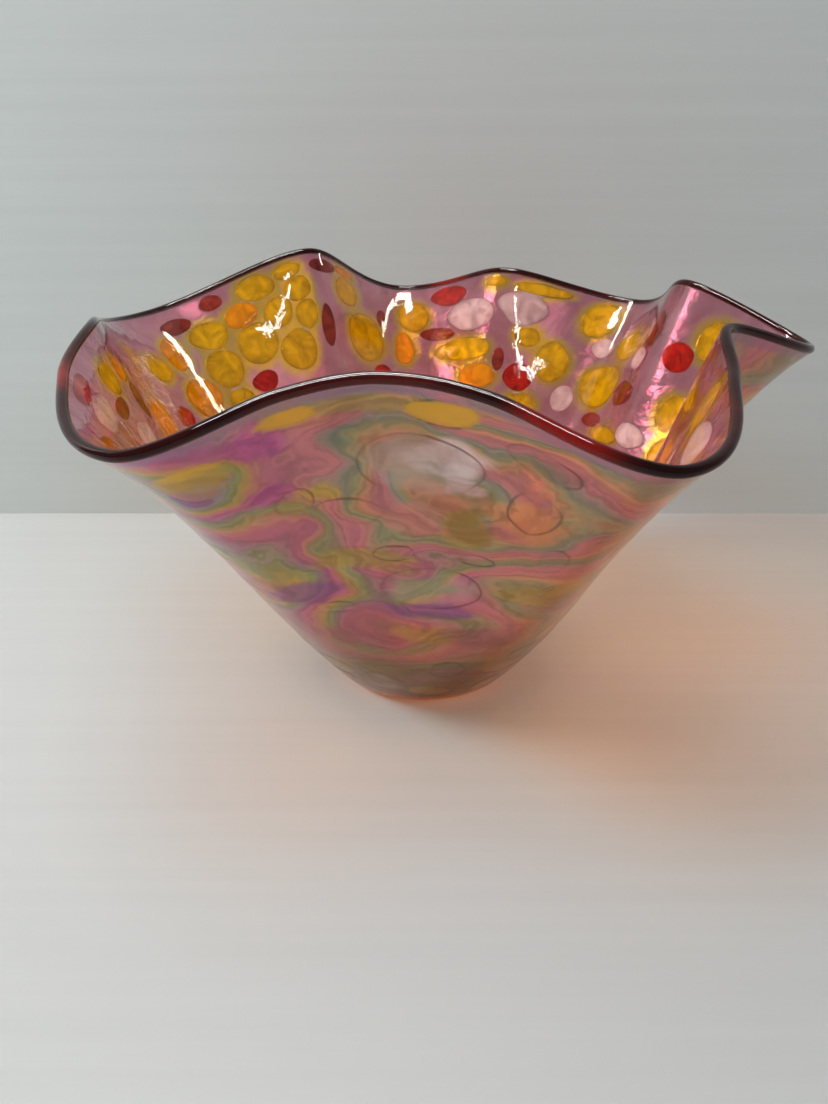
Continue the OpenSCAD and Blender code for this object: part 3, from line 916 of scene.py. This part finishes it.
def build_stage():
    """A floor in two planes that meet at the wall, and a wall that only its front shows."""
    s, y, top = STAGE_SIDE, WALL_Y, WALL_TOP
    plane("floor", [(-s, -s, 0), (s, -s, 0), (s, y, 0), (-s, y, 0)],
          stage_material("pale_floor", FLOOR_COLOUR))
    plane("floor_back", [(-s, y, 0), (s, y, 0), (s, s, 0), (-s, s, 0)],
          stage_material("pale_floor_back", FLOOR_COLOUR))
    plane("wall", [(-s, y, 0), (s, y, 0), (s, y, top), (-s, y, top)],
          stage_material("grey_wall", WALL_COLOUR, one_sided=True))


# Name, place, aim, size, power in W, colour, whether the glass mirrors it, and the one piece
# it lights, if it lights only one.
LAMPS = [
    ("top", (-0.17, -0.15, 1.0), (-0.17, -0.15, 0), (0.60, 0.30), 2.8, (1, 1, 1), False, None),
    ("side", (-1.0, -0.1, 0.75), (0, 0, 0.05), (0.3, 0.3), 11.0, (1, 0.985, 0.96), False, None),
    ("front", (0.8, -1.6, 1.2), (0, 0, 0.1), (1.6, 1.0), 10.0, (0.97, 0.985, 1), False, None),
    ("window", (-0.17, 0.06, 1.0), (-0.17, 0.06, 0), (0.20, 0.42), 9.5, (1, 1, 1), True, None),
    ("rim_glint", (-0.15, -0.12, 1.0), (-0.15, -0.12, 0), (0.55, 0.62), 64.0, (1, 1, 1),
     True, "lip"),
    ("back_glint", (0.13, -1.15, 0.94), (0.03, 0.09, 0.11), (0.06, 0.24), 1.5, (0.95, 1, 0.96),
     True, "gather"),
    ("left_glint", (0.06, 0.137, 0.243), (0.06, -0.05, 0.05), (0.19, 0.014), 0.3,
     (1, 0.86, 0.66), True, "gather"),
]


def area_light(name, place, aim, size, power, colour, mirrored, only):
    """A rectangular lamp: never mirrored in the glass, or only mirrored in it or in one piece."""
    data = bpy.data.lights.new(name, "AREA")
    data.shape = "RECTANGLE"
    data.size, data.size_y = size
    data.energy = power
    data.color = colour
    lamp = bpy.data.objects.new(name, data)
    lamp.location = place
    lamp.rotation_euler = (Vector(aim) - Vector(place)).to_track_quat("-Z", "Y").to_euler()
    lamp.visible_camera = False
    lamp.visible_glossy = mirrored
    lamp.visible_diffuse = not mirrored
    lamp.visible_transmission = not mirrored
    bpy.context.scene.collection.objects.link(lamp)
    if only:
        lit = bpy.data.collections.new(name + "_lit")
        lit.objects.link(bpy.data.objects[only])
        lamp.light_linking.receiver_collection = lit


def build_light():
    world = bpy.data.worlds.new("studio")
    world.use_nodes = True
    sky = world.node_tree.nodes["Background"].inputs
    sky["Color"].default_value = (0.94, 0.97, 1.0, 1)
    sky["Strength"].default_value = 0.19
    bpy.context.scene.world = world
    for lamp in LAMPS:
        area_light(*lamp)


CAMERA_PLACE = (-0.004, -0.300, 0.195)
CAMERA_TILT = 64
CAMERA_LENS = 27.03


def build_camera():
    data = bpy.data.cameras.new("camera")
    data.sensor_width = 36
    data.lens = CAMERA_LENS
    cam = bpy.data.objects.new("camera", data)
    cam.location = CAMERA_PLACE
    cam.rotation_euler = (math.radians(CAMERA_TILT), 0, 0)
    bpy.context.scene.collection.objects.link(cam)
    bpy.context.scene.camera = cam


build_stage()
build_light()
build_camera()

scene = bpy.context.scene
scene.cycles.max_bounces = 28
scene.cycles.transmission_bounces = 24
scene.cycles.glossy_bounces = 8
scene.cycles.transparent_max_bounces = 16
scene.view_settings.view_transform = "Standard"
